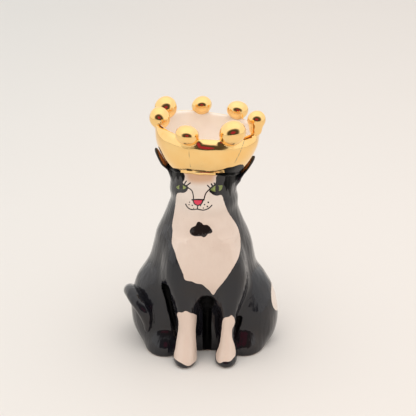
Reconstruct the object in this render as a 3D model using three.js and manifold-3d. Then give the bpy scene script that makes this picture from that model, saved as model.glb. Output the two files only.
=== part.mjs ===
// Glazed earthenware candle holder: a sitting black and white cat with a bowl shaped
// crown on its head that takes one tealight. Millimetres, +Z up, the floor at z = 0.
// The cat looks along -Y. Left and right are the cat's own: its left is +X.
import * as THREE from "three";
import { mergeVertices } from "three/addons/utils/BufferGeometryUtils.js";
import Module from "manifold-3d";

const seam = 0.3; // the fine gap left where one clay part sits on another
const wall = 5; // the clay wall of the hollow body
const slabThick = 5;
const ventDiameter = 12;
const ventPlace = [0, 16];

// Crown: the bowl was thrown, then set a little askew on the head.
const tealightDiameter = 38;
const tealightFit = 0.7; // radial room round the candle at the floor of the bowl
const bowlFloorRadius = tealightDiameter / 2 + tealightFit;
const bowlFootRadius = 23.5;
const bowlRimRadius = 36;
const bowlHeight = 29.5;
const bowlFloorThick = 5;
const bowlWall = 4;
const bowlSwell = 2.2;
const crownSeatHeight = 129.6; // underside of the bowl on the crown's own axis
const crownCentre = [0.6, 0];
const crownTilt = THREE.MathUtils.degToRad(3.6); // down towards the cat's left
const headTopRise = 4.8; // the forehead stands this much higher than the nape
const collarRadius = 1.7; // the coil of clay that beds the bowl on the head
const collarBed = 0.9; // how far the middle of the coil lies inside the bowl's side
const collarHalfWidth = coilReach(0);
const collarFront = -coilReach(headTopRise);
const collarBack = collarHalfWidth + 1;

// Beads on the rim: angle from +X in degrees, inset from the rim, width, height, lift.
const beads = [
  { angle: -14.6, inset: 2.6, width: 12, height: 17, lift: 7.6 },
  { angle: 53.5, inset: 2, width: 15, height: 14, lift: 5.4 },
  { angle: 97.7, inset: 2, width: 14.2, height: 15.6, lift: 5.3 },
  { angle: 149, inset: 1.4, width: 14.9, height: 17.4, lift: 7.4 },
  { angle: 173.5, inset: 2.8, width: 13.8, height: 13.2, lift: 4.2 },
  { angle: 246.4, inset: 2, width: 14.4, height: 11.8, lift: 3.4 },
  { angle: 298.7, inset: 2, width: 16, height: 16.4, lift: 6 },
];

// Body stations: height, centre, half width, front, widest place, back. The top of the
// head is as wide as the coil under the bowl.
const bodyStations = [
  [0, 0, 40, -22.5, 6, 36],
  [8, 0, 43.2, -24, 6, 40],
  [20, 0, 46, -25, 6.5, 43],
  [32, -0.3, 47.2, -27.2, 6.5, 43.5],
  [42, -0.6, 46.6, -31.2, 6, 42],
  [50, -1.6, 44.2, -33.8, 5, 40],
  [58, -1.8, 39.6, -35, 4, 38],
  [66, -1.2, 36.8, -34, 3.5, 35.5],
  [76, -1, 34.6, -33.2, 3, 33],
  [84, -1.4, 32.2, -32.4, 2, 31],
  [94, -1.2, 27.9, -31, 1, 28.5],
  [103, -0.9, 24.6, -29.6, 0.5, 26.5],
  [110, -0.3, 23.3, -30, 0, 25.4],
  [117, 0, collarHalfWidth - 0.7, -29.4, 0, collarBack + 0.2],
  [124, 0, collarHalfWidth - 0.4, collarFront + 0.1, 0, collarBack - 0.2],
  [130, 0, collarHalfWidth, collarFront - 0.1, 0, collarBack - 0.6],
  [138, 0, collarHalfWidth + 0.4, collarFront - 0.9, 0, collarBack - 0.6],
];
const cavityTop = 121;

// Haunches: one lump of clay on each side, an upright thigh with a foot in front of it,
// flat underneath.
const footRadii = [15.5, 19, 17];
const haunches = [
  {
    name: "right_haunch",
    leg: "right_front_leg",
    thigh: [-28.2, -0.5, 26],
    thighRadii: [24.8, 25, 36],
    foot: [-27.8, -13.4, 3],
  },
  {
    name: "left_haunch",
    leg: "left_front_leg",
    thigh: [28.6, -0.5, 17],
    thighRadii: [24.6, 25, 40],
    foot: [27.6, -13.4, 3],
  },
];

// Front legs: height, centre, front, back, half width, for the cat's right leg.
const rightLegStations = [
  [0, -13.3, -48.4, -24, 7.6],
  [3, -13.3, -49.8, -24, 8.3],
  [7, -13.2, -48.4, -24, 8.1],
  [13, -12.6, -45, -24, 7.5],
  [22, -12, -41, -22, 6.9],
  [32, -12.5, -39.6, -20, 7.4],
  [42, -13.8, -38.4, -18, 8],
  [51, -15.6, -37.4, -16, 9],
  [60, -16.8, -36.2, -15, 9.6],
  [70, -16.8, -34.8, -15, 9],
  [79, -15.6, -33, -15, 7.4],
  [86, -14, -30.6, -15, 5],
];
const leftLegStations = [
  [0, 15.2, -47.8, -24, 7.2],
  [3, 15.2, -49.2, -24, 7.8],
  [7, 15.2, -47.6, -24, 7.4],
  [13, 15.4, -44.4, -24, 6.2],
  [22, 15.7, -40.6, -22, 5.5],
  [32, 16.6, -39.4, -20, 6.2],
  [42, 17.6, -38.2, -18, 8],
  [51, 18.6, -37.2, -16, 9.2],
  [60, 19, -36.1, -15, 9.6],
  [70, 18, -34.7, -15, 8.8],
  [79, 16.4, -32.9, -15, 7.2],
  [86, 15, -30.5, -15, 5],
];

// Hollows pressed into the clay: lower end, upper end, radius at each, depth to radius.
const hollows = [
  { low: [2, -30, -6], high: [2, -34.6, 42], radii: [7.8, 5.8], deep: 1 }, // between the forelegs
  { low: [2, -23.4, -6], high: [2, -28.2, 38], radii: [3.2, 2.6], deep: 1 }, // a groove behind it
  { low: [-20.8, -27.4, 20], high: [-26.8, -28.4, 50.6], radii: [2, 2.7], deep: 1.5 },
  { low: [21.6, -31.4, 13], high: [24.6, -25.4, 27], radii: [1.8, 1.7], deep: 1.5 },
];

// Tail: rises from the rump, turns over the flank and comes down over the haunch.
const tailPath = [
  [-18, 30, 8],
  [-33.6, 33.8, 15],
  [-43.6, 25.6, 25],
  [-50.4, 15, 33.5],
  [-53.1, 4, 39.3],
  [-52.6, -6, 41.4],
  [-50.6, -14, 41],
  [-48.2, -18.7, 39.3],
  [-45.7, -21.7, 37],
  [-42.9, -24.3, 33.9],
  [-40.7, -25.2, 29.3],
  [-39.8, -25, 23.4],
  [-40.3, -24, 17],
];
const tailRadii = [4.6, 4.6, 4.7, 4.8, 4.9, 4.9, 4.9, 4.6, 1.9];

// Ears: leaves of clay that stand along the bowl, with their front edge turned outwards.
// Heights are measured from the bowl's foot.
const earThick = 2.9;
const earRearGap = 0.5;
const earFrontGap = 2;
const earFootDraw = 0.5; // how fast the foot runs back into the head, mm per mm
const ears = [
  { name: "right_ear", angle: 181, halfWidth: 8.5, foot: -9, tip: 12.6 },
  { name: "left_ear", angle: -1, halfWidth: 8.5, foot: -11, tip: 11.4 },
];

const colours = {
  blackGlaze: { color: 0x1a181a, roughness: 0.12, metalness: 0 },
  goldLustre: { color: 0xf2c37a, roughness: 0.14, metalness: 1 },
  bareClay: { color: 0xd8c4b4, roughness: 0.7, metalness: 0 },
};

const wasm = await Module();
wasm.setup();

function solidOf(geometry) {
  const plain = geometry.clone();
  plain.deleteAttribute("normal");
  plain.deleteAttribute("uv");
  const welded = mergeVertices(plain, 1e-4);
  const mesh = new wasm.Mesh({
    numProp: 3,
    vertProperties: new Float32Array(welded.attributes.position.array),
    triVerts: new Uint32Array(welded.index.array),
  });
  mesh.merge();
  return new wasm.Manifold(mesh);
}

function geometryOf(solid) {
  const mesh = solid.getMesh();
  const geometry = new THREE.BufferGeometry();
  const stride = mesh.numProp;
  const points = new Float32Array(mesh.numVert * 3);
  for (let i = 0; i < mesh.numVert; i += 1) {
    points.set(mesh.vertProperties.subarray(i * stride, i * stride + 3), i * 3);
  }
  geometry.setAttribute("position", new THREE.BufferAttribute(points, 3));
  geometry.setIndex(new THREE.BufferAttribute(new Uint32Array(mesh.triVerts), 1));
  return geometry;
}

// A closed skin over rings of equal length, with a fan at each end.
function skin(rings) {
  const count = rings[0].length;
  const points = rings.flat();
  const faces = [];
  for (let row = 0; row + 1 < rings.length; row += 1) {
    for (let i = 0; i < count; i += 1) {
      const a = row * count + i;
      const b = row * count + ((i + 1) % count);
      faces.push(a, b, b + count, a, b + count, a + count);
    }
  }
  const first = centreOf(rings[0]);
  const last = centreOf(rings.at(-1));
  const foot = points.push(first) - 1;
  const head = points.push(last) - 1;
  const top = (rings.length - 1) * count;
  for (let i = 0; i < count; i += 1) {
    const next = (i + 1) % count;
    faces.push(foot, next, i);
    faces.push(head, top + i, top + next);
  }
  const geometry = new THREE.BufferGeometry();
  const flat = points.flatMap((point) => point.toArray());
  geometry.setAttribute("position", new THREE.Float32BufferAttribute(flat, 3));
  geometry.setIndex(faces);
  return geometry;
}

function centreOf(ring) {
  const sum = new THREE.Vector3();
  for (const point of ring) {
    sum.add(point);
  }
  return sum.divideScalar(ring.length);
}

// Smooth values between stations, keyed by their first number.
function between(stations, key) {
  let i = stations.findIndex((station) => station[0] > key) - 1;
  i = i < 0 ? (key < stations[0][0] ? 0 : stations.length - 2) : i;
  const before = stations[Math.max(i - 1, 0)];
  const a = stations[i];
  const b = stations[i + 1];
  const after = stations[Math.min(i + 2, stations.length - 1)];
  const span = b[0] - a[0];
  const t = THREE.MathUtils.clamp((key - a[0]) / span, 0, 1);
  return a.slice(1).map((value, n) => {
    const k = n + 1;
    const slopeA = (b[k] - before[k]) / (b[0] - before[0]);
    const slopeB = (after[k] - a[k]) / (after[0] - a[0]);
    const t2 = t * t;
    const t3 = t2 * t;
    return (
      (2 * t3 - 3 * t2 + 1) * value +
      (t3 - 2 * t2 + t) * span * slopeA +
      (3 * t2 - 2 * t3) * b[k] +
      (t3 - t2) * span * slopeB
    );
  });
}

function heights(from, to, count) {
  return Array.from({ length: count + 1 }, (_, i) => from + ((to - from) * i) / count);
}

// One level ring of the body, moved outwards by grow.
function bodyRing(z, grow, segments) {
  const [centre, half, front, widest, back] = between(bodyStations, z);
  return Array.from({ length: segments }, (_, i) => {
    const angle = (2 * Math.PI * i) / segments;
    const reach = Math.sin(angle) > 0 ? back - widest : widest - front;
    return new THREE.Vector3(
      centre + (half + grow) * Math.cos(angle),
      widest + (reach + grow) * Math.sin(angle),
      z,
    );
  });
}

function bodyLoft(from, to, grow, rows, segments) {
  return skin(heights(from, to, rows).map((z) => bodyRing(z, grow, segments)));
}

function legLoft(stations, grow) {
  const top = stations.at(-1)[0];
  const rings = heights(0, top, 18).map((z) => {
    const [centre, front, back, half] = between(stations, z);
    const middle = (front + back) / 2;
    const reach = (back - front) / 2 + grow;
    return Array.from({ length: 20 }, (_, i) => {
      const angle = (2 * Math.PI * i) / 20;
      return new THREE.Vector3(
        centre + (half + grow) * Math.cos(angle),
        middle + reach * Math.sin(angle),
        z === top ? z + grow : z,
      );
    });
  });
  return skin(rings);
}

function ball(radii, centre, grow, across, down) {
  const geometry = new THREE.SphereGeometry(1, across, down);
  geometry.rotateX(Math.PI / 2);
  geometry.scale(radii[0] + grow, radii[1] + grow, radii[2] + grow);
  geometry.translate(...centre);
  return geometry;
}

// A tapered rod with round ends, stretched along Y, to press into the clay.
function press(hollow) {
  const ends = [hollow.low, hollow.high].map((end, i) => {
    const radius = hollow.radii[i];
    return solidOf(ball([radius, radius * hollow.deep, radius], end, 0, 12, 8));
  });
  return wasm.Manifold.hull(ends);
}

function box(size, centre) {
  const geometry = new THREE.BoxGeometry(...size);
  geometry.translate(...centre);
  return geometry;
}

// A tapered roll of clay along a curve, rounded off at the tip.
function roll(path, radii, grow) {
  const curve = new THREE.CatmullRomCurve3(path.map((point) => new THREE.Vector3(...point)));
  const steps = 25;
  const frames = curve.computeFrenetFrames(steps, false);
  const stations = radii.map((radius, i) => [i / (radii.length - 1), radius]);
  const rings = heights(0, 1, steps).map((t, i) => {
    const centre = curve.getPointAt(t);
    const round = Math.sqrt(1 - (Math.max(t * steps - steps + 2, 0) / 2.3) ** 2);
    const radius = between(stations, t)[0] * round + grow;
    return Array.from({ length: 12 }, (_, k) => {
      const angle = (2 * Math.PI * k) / 12;
      return centre
        .clone()
        .addScaledVector(frames.normals[i], radius * Math.cos(angle))
        .addScaledVector(frames.binormals[i], radius * Math.sin(angle));
    });
  });
  return skin(rings);
}

// A pointed leaf standing along the bowl's side, wide and thick at the foot.
function leaf(ear) {
  const facing = Math.cos(THREE.MathUtils.degToRad(ear.angle)) > 0 ? -1 : 1;
  const rings = heights(0, 1, 12).map((t) => {
    const height = ear.foot + (ear.tip - ear.foot) * t;
    const below = Math.max(-height, 0);
    const half = ear.halfWidth * Math.max(1 - t ** 2.4, 0.1) ** 0.8;
    const thin = (earThick / 2) * (1 - 0.2 * t) + below * 0.3;
    const side = bowlOuterRadius(height) + earThick - thin - earFootDraw * below;
    return Array.from({ length: 14 }, (_, i) => {
      const angle = (2 * Math.PI * i) / 14;
      const across = half * Math.sin(angle);
      const forward = 0.5 + (0.5 * facing * across) / ear.halfWidth;
      const gap = (earRearGap + (earFrontGap - earRearGap) * forward) * (1 - 0.5 * t);
      return new THREE.Vector3(side + gap + thin * Math.cos(angle), across, height);
    });
  });
  const geometry = skin(rings);
  geometry.rotateZ(THREE.MathUtils.degToRad(ear.angle));
  return onCrown(geometry);
}

const crownPlace = new THREE.Matrix4()
  .makeTranslation(crownCentre[0], crownCentre[1], crownSeatHeight)
  .multiply(new THREE.Matrix4().makeRotationY(crownTilt));

function onCrown(geometry) {
  geometry.applyMatrix4(crownPlace);
  return geometry;
}

// The top of the head is level with the bowl's foot behind and rises over the forehead.
function headTopHeight(y) {
  return 0.3 + headTopRise * (Math.max(-y, 0) / -collarFront) ** 2;
}

function aboveHead(lift) {
  const shape = new THREE.Shape();
  shape.moveTo(60, 60);
  for (const y of heights(60, -60, 40)) {
    shape.lineTo(y, headTopHeight(y) + lift);
  }
  shape.lineTo(-60, 60);
  const geometry = new THREE.ExtrudeGeometry(shape, { depth: 120, bevelEnabled: false });
  geometry.translate(0, 0, -60);
  geometry.rotateY(Math.PI / 2);
  geometry.rotateX(Math.PI / 2);
  return geometry;
}

// An oval ring of round coil along the top of the head.
function collarCoil(grow) {
  const steps = 40;
  const around = 7;
  const points = [];
  const faces = [];
  for (let i = 0; i < steps; i += 1) {
    const turn = (2 * Math.PI * i) / steps;
    const reach = Math.sin(turn) > 0 ? collarBack : -collarFront;
    for (let k = 0; k < around; k += 1) {
      const angle = (2 * Math.PI * k) / around;
      const out = (collarRadius + grow) * Math.cos(angle);
      const rise = headTopHeight(reach * Math.sin(turn)) + collarRadius / 2;
      points.push(
        (collarHalfWidth + out) * Math.cos(turn),
        (reach + out) * Math.sin(turn),
        rise + (collarRadius + grow) * Math.sin(angle),
      );
      const next = i * around + ((k + 1) % around);
      const ahead = ((i + 1) % steps) * around;
      faces.push(i * around + k, ahead + k, ahead + ((k + 1) % around));
      faces.push(i * around + k, ahead + ((k + 1) % around), next);
    }
  }
  const geometry = new THREE.BufferGeometry();
  geometry.setAttribute("position", new THREE.Float32BufferAttribute(points, 3));
  geometry.setIndex(faces);
  return geometry;
}

function turned(profile, segments) {
  const geometry = new THREE.LatheGeometry(profile, segments);
  geometry.rotateX(Math.PI / 2);
  return geometry;
}

// The bowl's outside swells quickly from the foot and stands upright at the rim.
function bowlOuterRadius(height) {
  const rise = THREE.MathUtils.clamp(height / bowlHeight, 0, 1);
  return bowlFootRadius + (bowlRimRadius - bowlFootRadius) * (1 - (1 - rise) ** bowlSwell);
}

// Where the middle of the coil runs when the head stands this high against the bowl.
function coilReach(rise) {
  return bowlOuterRadius(rise + 0.3 + collarRadius / 2) - collarBed;
}

function bowlProfile(grow) {
  const profile = [new THREE.Vector2(0, -grow)];
  profile.push(new THREE.Vector2(bowlFootRadius - 0.8 + grow, -grow));
  for (const height of heights(0.4, bowlHeight - 2, 8)) {
    profile.push(new THREE.Vector2(bowlOuterRadius(height) + grow, height));
  }
  const lip = bowlWall / 2;
  const middle = bowlRimRadius - lip;
  for (const angle of [30, 60, 90, 120, 150]) {
    const turn = THREE.MathUtils.degToRad(angle);
    profile.push(
      new THREE.Vector2(
        middle + (lip + grow) * Math.cos(turn),
        bowlHeight - 2 + (lip + grow) * Math.sin(turn),
      ),
    );
  }
  if (grow > 0) {
    profile.push(new THREE.Vector2(0, bowlHeight + grow));
    return profile;
  }
  const drop = bowlHeight - 2 - bowlFloorThick;
  for (const step of heights(0, 1, 7)) {
    const radius = bowlFloorRadius
      + (bowlRimRadius - bowlWall - bowlFloorRadius) * (1 - step ** bowlSwell);
    profile.push(new THREE.Vector2(radius, bowlHeight - 2 - drop * step));
  }
  profile.push(new THREE.Vector2(0, bowlFloorThick));
  return profile;
}

const group = new THREE.Group();

function addPart(name, solid, look) {
  const geometry = geometryOf(solid);
  geometry.computeVertexNormals();
  const mesh = new THREE.Mesh(geometry, new THREE.MeshStandardMaterial(colours[look]));
  mesh.name = name;
  group.add(mesh);
}

const floorCut = solidOf(box([200, 200, 60], [0, 0, -30]));

// Body with its neck and head in one hollow shell, open below.
const bodyTop = bodyStations.at(-1)[0];
const bodyFull = solidOf(bodyLoft(0, bodyTop, 0, 35, 40));
const bodyGrown = solidOf(bodyLoft(-1, bodyTop, seam, 35, 40));
const cavity = solidOf(bodyLoft(-1, cavityTop, -wall, 20, 28));
const headTop = solidOf(onCrown(aboveHead(0)));
const headTopSeam = solidOf(onCrown(aboveHead(seam)));
const bowlGrown = solidOf(onCrown(turned(bowlProfile(seam), 44)));
const pressed = wasm.Manifold.union(hollows.map(press));
const torso = bodyFull.subtract(cavity).subtract(headTop).subtract(bowlGrown).subtract(pressed);
addPart("torso", torso, "blackGlaze");

const slab = solidOf(bodyLoft(0, slabThick, -wall - seam, 2, 28));
const ventGeometry = new THREE.CylinderGeometry(ventDiameter / 2, ventDiameter / 2, 40, 28);
ventGeometry.rotateX(Math.PI / 2);
ventGeometry.translate(...ventPlace, 0);
addPart("base_slab", slab.subtract(solidOf(ventGeometry)), "bareClay");

const legs = {};
for (const [name, stations] of [
  ["right_front_leg", rightLegStations],
  ["left_front_leg", leftLegStations],
]) {
  legs[name] = solidOf(legLoft(stations, seam));
  const leg = solidOf(legLoft(stations, 0));
  addPart(name, leg.subtract(bodyGrown).subtract(pressed), "blackGlaze");
}

function haunchLump(haunch, grow) {
  const thigh = solidOf(ball(haunch.thighRadii, haunch.thigh, grow, 20, 14));
  return thigh.add(solidOf(ball(footRadii, haunch.foot, grow, 16, 11)));
}

for (const haunch of haunches) {
  const lump = haunchLump(haunch, 0).subtract(floorCut).subtract(bodyGrown);
  addPart(haunch.name, lump.subtract(legs[haunch.leg]).subtract(pressed), "blackGlaze");
}
const rightHaunchGrown = haunchLump(haunches[0], seam);

const tail = solidOf(roll(tailPath, tailRadii, 0));
addPart("tail", tail.subtract(bodyGrown).subtract(rightHaunchGrown), "blackGlaze");

const coil = solidOf(onCrown(collarCoil(0)));
const coilGrown = solidOf(onCrown(collarCoil(seam)));
const headGrown = bodyGrown.subtract(headTopSeam);
addPart("crown_collar", coil.subtract(bowlGrown).subtract(headGrown), "goldLustre");

for (const ear of ears) {
  const blade = solidOf(leaf(ear));
  const cut = blade.subtract(headGrown).subtract(bowlGrown).subtract(coilGrown);
  addPart(ear.name, cut, "blackGlaze");
}

addPart("crown_bowl", solidOf(onCrown(turned(bowlProfile(0), 44))), "goldLustre");

beads.forEach((bead, i) => {
  const turn = THREE.MathUtils.degToRad(bead.angle);
  const ring = bowlRimRadius - bead.inset;
  const centre = [
    ring * Math.cos(turn),
    ring * Math.sin(turn),
    bowlHeight + bead.lift,
  ];
  const radii = [bead.width / 2, bead.width / 2, bead.height / 2];
  const solid = solidOf(onCrown(ball(radii, centre, 0, 14, 9)));
  addPart(`crown_bead_${i + 1}`, solid.subtract(bowlGrown), "goldLustre");
});

export default group;
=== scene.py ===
import math

import bpy
import numpy as np
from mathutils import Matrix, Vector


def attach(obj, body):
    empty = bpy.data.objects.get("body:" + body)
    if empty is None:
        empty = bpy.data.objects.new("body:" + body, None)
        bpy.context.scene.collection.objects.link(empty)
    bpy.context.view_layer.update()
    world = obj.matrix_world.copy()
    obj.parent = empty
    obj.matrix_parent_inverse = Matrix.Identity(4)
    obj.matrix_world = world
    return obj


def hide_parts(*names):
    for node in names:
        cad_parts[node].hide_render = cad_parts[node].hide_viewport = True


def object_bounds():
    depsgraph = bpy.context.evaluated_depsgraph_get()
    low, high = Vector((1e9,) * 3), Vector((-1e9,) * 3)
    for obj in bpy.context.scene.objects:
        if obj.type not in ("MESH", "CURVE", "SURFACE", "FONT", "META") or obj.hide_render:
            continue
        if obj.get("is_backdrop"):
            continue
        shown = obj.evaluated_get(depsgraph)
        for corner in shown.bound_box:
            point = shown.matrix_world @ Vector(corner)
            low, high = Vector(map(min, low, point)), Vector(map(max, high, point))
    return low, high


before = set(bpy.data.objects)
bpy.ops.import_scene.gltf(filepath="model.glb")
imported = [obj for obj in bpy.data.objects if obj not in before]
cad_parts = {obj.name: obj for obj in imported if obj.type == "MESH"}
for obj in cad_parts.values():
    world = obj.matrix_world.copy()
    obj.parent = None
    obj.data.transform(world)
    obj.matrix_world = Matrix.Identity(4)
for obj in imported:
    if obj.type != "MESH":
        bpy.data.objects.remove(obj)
cadLow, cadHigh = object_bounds()
print("frame loaded,", len(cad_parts), "clay parts")

# A black and white cat in glazed earthenware, with a gold bowl on its head for one candle.
# Shapes are in millimetres, +Z up, the cat looking along -Y with its own left at +X, and go
# into their meshes in metres.
mm = 0.001
sides = ("right", "left")
farAway = 30.0  # stands for the distance where a form is out of reach


# Tools for numbers.
def ease(t):  # smooth step from 0 to 1 with level ends: 3 t^2 - 2 t^3
    t = np.clip(t, 0.0, 1.0)
    return t * t * (3.0 - 2.0 * t)


def lerp(a, b, t):  # from a at t = 0 to b at t = 1
    return a + (b - a) * t


def between(stations, keys):
    # values at keys on a cubic through the stations; a slope is the rise over both neighbours
    table = np.asarray(stations, float)
    stop, last = table[:, 0], len(table) - 1
    low = np.maximum(np.arange(last + 1) - 1, 0)
    high = np.minimum(np.arange(last + 1) + 1, last)
    slope = (table[high] - table[low]) / (stop[high] - stop[low])[:, None]
    i = np.clip(np.searchsorted(stop, keys, side="right") - 1, 0, last - 1)
    span = (stop[i + 1] - stop[i])[:, None]
    t = np.clip((np.asarray(keys, float) - stop[i])[:, None] / span, 0.0, 1.0)
    value = (2 * t**3 - 3 * t**2 + 1) * table[i] + (t**3 - 2 * t**2 + t) * span * slope[i]
    value += (3 * t**2 - 2 * t**3) * table[i + 1] + (t**3 - t**2) * span * slope[i + 1]
    return value[:, 1:].T


def spread(low, high, count, crowd):
    # count places from low to high, closer together where crowd(place) is larger
    fine = np.linspace(low, high, 4000)
    total = np.concatenate([[0.0], np.cumsum(crowd((fine[1:] + fine[:-1]) / 2))])
    return np.interp(np.linspace(0, total[-1], count), total, fine)


def onceRound(count, start=90):  # angles once round, from a start in degrees
    return np.radians(np.linspace(start, start + 360, count + 1))[:-1]


def turned(a, b, degrees):  # two coordinates turned by an angle: a c - b s and a s + b c
    c, s = math.cos(math.radians(degrees)), math.sin(math.radians(degrees))
    return a * c - b * s, a * s + b * c


def unit(vectors):
    return vectors / np.linalg.norm(vectors, axis=-1, keepdims=True)


def stack(x, y, z):  # three arrays of any fitting shapes as one array of points
    return np.stack(np.broadcast_arrays(x, y, z), -1).astype(float)


def join(a, b, soft):
    # the nearer of two distances, with a fillet: min(a, b) - h^2 soft / 4, h = 1 - |a - b| / soft
    h = np.maximum(1.0 - np.abs(a - b) / soft, 0.0)
    return np.minimum(a, b) - h * h * soft / 4


def carve(a, b, soft):  # takes form b out of form a, with a soft edge
    return -join(-a, b, soft)


# Tools for meshes.
def addObject(name, data):
    made = bpy.data.objects.new(name, data)
    bpy.context.scene.collection.objects.link(made)
    return made


def sheetMesh(name, rows, looped=False):
    # a skin over closed rings of points; the first and last shrink to one point each or,
    # when looped, join each other
    count, around = rows.shape[:2]
    points = rows.reshape(-1, 3)
    ring = np.arange(around)
    after = (ring + 1) % around
    strip = np.arange(count if looped else count - 1)[:, None]
    lower, upper = strip * around, (strip + 1) % count * around
    quads = np.stack([lower + ring, lower + after, upper + after, upper + ring], -1)
    faces = quads.reshape(-1, 4).tolist()
    if not looped:
        points = np.concatenate([points, rows[0].mean(0)[None], rows[-1].mean(0)[None]])
        foot, head, top = len(points) - 2, len(points) - 1, (count - 1) * around
        faces += np.stack([np.full(around, foot), after, ring], -1).tolist()
        faces += np.stack([np.full(around, head), top + ring, top + after], -1).tolist()
    mesh = bpy.data.meshes.new(name)
    mesh.from_pydata((points * mm).tolist(), [], faces)
    mesh.polygons.foreach_set("use_smooth", np.ones(len(faces), bool))
    mesh.update()
    return addObject(name, mesh), points


def facing(piece):  # the unit normal at each vertex
    normal = np.zeros(len(piece.data.vertices) * 3, np.float32)
    piece.data.vertex_normals.foreach_get("vector", normal)
    return normal.reshape(-1, 3).astype(float)


def layer(piece, name, values):  # one number for each vertex, read by the materials
    attribute = piece.data.attributes.new(name, "FLOAT", "POINT")
    attribute.data.foreach_set("value", np.ascontiguousarray(values, np.float32))


def settle(points, field, share=1.0, steps=4):
    # steps along the slope, p - value slope / |slope|^2, until the field is 0; share is the
    # part of the way that is gone, 1 for all of it
    moved, nudge = points.copy(), 0.04
    for _ in range(steps):
        value = field(moved)
        ahead = [field(moved + axis * nudge) for axis in np.eye(3)]
        slope = (np.stack(ahead, -1) - value[:, None]) / nudge
        size = np.maximum((slope**2).sum(-1), 0.3)
        moved = moved - (np.clip(value, -2.5, 2.5) / size)[:, None] * slope
    return points + (moved - points) * np.reshape(share, (-1, 1))


def finishPiece(piece, material, nodeName):
    piece.data.materials.append(material)
    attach(piece, "root")
    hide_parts(nodeName)
    print("piece", piece.name, len(piece.data.polygons), "faces")


# The forms. Each has a distance in mm, negative inside.
body = {
    "wall": 5.0,
    "cavityTop": 121.0,
    "rimGuess": 132.0,
    # height, centre, half width, front, widest place, back
    "stations": [
        [0, 0, 40, -22.5, 6, 36], [8, 0, 43.2, -24, 6, 40], [20, 0, 46, -25, 6.5, 43],
        [32, -0.3, 47.2, -27.2, 6.5, 43.5], [42, -0.6, 46.6, -31.2, 6, 42],
        [50, -1.6, 44.2, -33.8, 5, 40], [58, -1.8, 39.6, -35, 4, 38],
        [66, -1.2, 36.8, -34, 3.5, 35.5], [76, -1, 34.6, -33.2, 3, 33],
        [84, -1.4, 32.2, -32.4, 2, 31], [94, -1.2, 27.9, -31, 1, 28.5],
        [103, -0.9, 24.6, -29.6, 0.5, 26.5], [110, 0.2, 23.3, -30, 0, 25.4],
        [117, -1.0, 22.9, -29.4, 0, 24.8], [124, 0, 23.2, -27.4, 0, 24.4],
        [130, 0, 23.6, -27.6, 0, 24], [138, 0, 24, -28.4, 0, 24],
    ],
}
legs = {
    # height, centre, front, back, half width
    "right": [
        [0, -13.3, -48.4, -24, 7.6], [3, -13.3, -49.8, -24, 8.3], [7, -13.2, -48.4, -24, 8.1],
        [13, -12.6, -45, -24, 7.5], [22, -12, -41, -22, 6.9], [32, -12.5, -39.6, -20, 7.4],
        [42, -13.8, -38.4, -18, 8], [51, -15.6, -37.4, -16, 9], [60, -16.8, -36.2, -15, 9.6],
        [70, -16.8, -34.8, -15, 9], [79, -15.6, -33, -15, 7.4], [86, -14, -30.6, -15, 5],
    ],
    "left": [
        [0, 15.2, -47.8, -24, 7.2], [3, 15.2, -49.2, -24, 7.8], [7, 15.2, -47.6, -24, 7.4],
        [13, 15.4, -44.4, -24, 6.2], [22, 15.7, -40.6, -22, 5.5], [32, 16.6, -39.4, -20, 6.2],
        [42, 17.6, -38.2, -18, 8], [51, 18.6, -37.2, -16, 9.2], [60, 19, -36.1, -15, 9.6],
        [70, 18, -34.7, -15, 8.8], [79, 16.4, -32.9, -15, 7.2], [86, 15, -30.5, -15, 5],
    ],
}
haunches = {
    # an upright egg for the thigh, its height below the middle given apart, and one for the foot
    "soft": 4.5,
    "right": {
        "thigh": [-28.2, -0.5, 26.0], "radii": [24.8, 25.0, 36.0], "under": 35.0,
        "foot": [-27.8, -13.4, 3.0], "footRadii": [14.6, 18.6, 17.0],
    },
    "left": {
        "thigh": [28.6, -0.5, 20.0], "radii": [24.6, 25.0, 36.5], "under": 30.0,
        "foot": [28.0, -13.4, 3.0], "footRadii": [14.5, 17.5, 17.0],
    },
}
tail = {
    "path": [
        [-18, 30, 8], [-33.6, 33.8, 13], [-43.6, 25.6, 21.5], [-50.4, 15, 29.4], [-53.1, 4, 35.4],
        [-52.6, -6, 39.8], [-50.6, -14, 40.8], [-48.2, -18.7, 39.3], [-45.7, -21.7, 37],
        [-42.9, -24.3, 33.9], [-40.7, -25.2, 29.3], [-39.8, -25, 23.4], [-40.3, -24, 17],
    ],
    "radii": [4.6, 4.6, 4.7, 4.8, 4.9, 4.9, 4.9, 4.6, 1.9],  # at even steps from root to tip
    "length": 118.0,
    "tipRound": 2.4,
}
hollows = [
    # pressed into the clay: lower end, upper end, radius at each, depth to radius, soft edge
    [(2.0, -30.0, -6.0), (2.0, -34.6, 42.0), 7.8, 5.8, 1.0, 2.0],  # the arch between the forelegs
    [(2.0, -23.4, -6.0), (2.0, -28.2, 38.0), 3.2, 2.6, 1.0, 0.8],  # a deeper groove in it
    [(-19.8, -27.4, 14.5), (-26.8, -28.6, 51.6), 1.2, 3.1, 2.2, 1.4],  # beside the right foreleg
    [(21.6, -31.4, 13.0), (24.6, -25.4, 27.0), 1.8, 1.7, 2.2, 0.8],  # beside the left foreleg
]
crown = {
    "centre": [0.6, 0.0, 129.6],
    "tilt": 3.6,
    "footRadius": 23.5,
    "footRound": 0.9,
    "rimRadius": 36.0,
    "height": 29.5,
    "swell": 2.2,
    "wall": 4.0,
    "floorRadius": 19.7,
    "floorThick": 5.0,
    "rollIn": 6.0,
    "rollDeep": 8.6,
}
headTop = {"gap": 0.3, "rise": 4.8, "front": 27.5, "side": 23.64, "back": 24.64}
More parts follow.
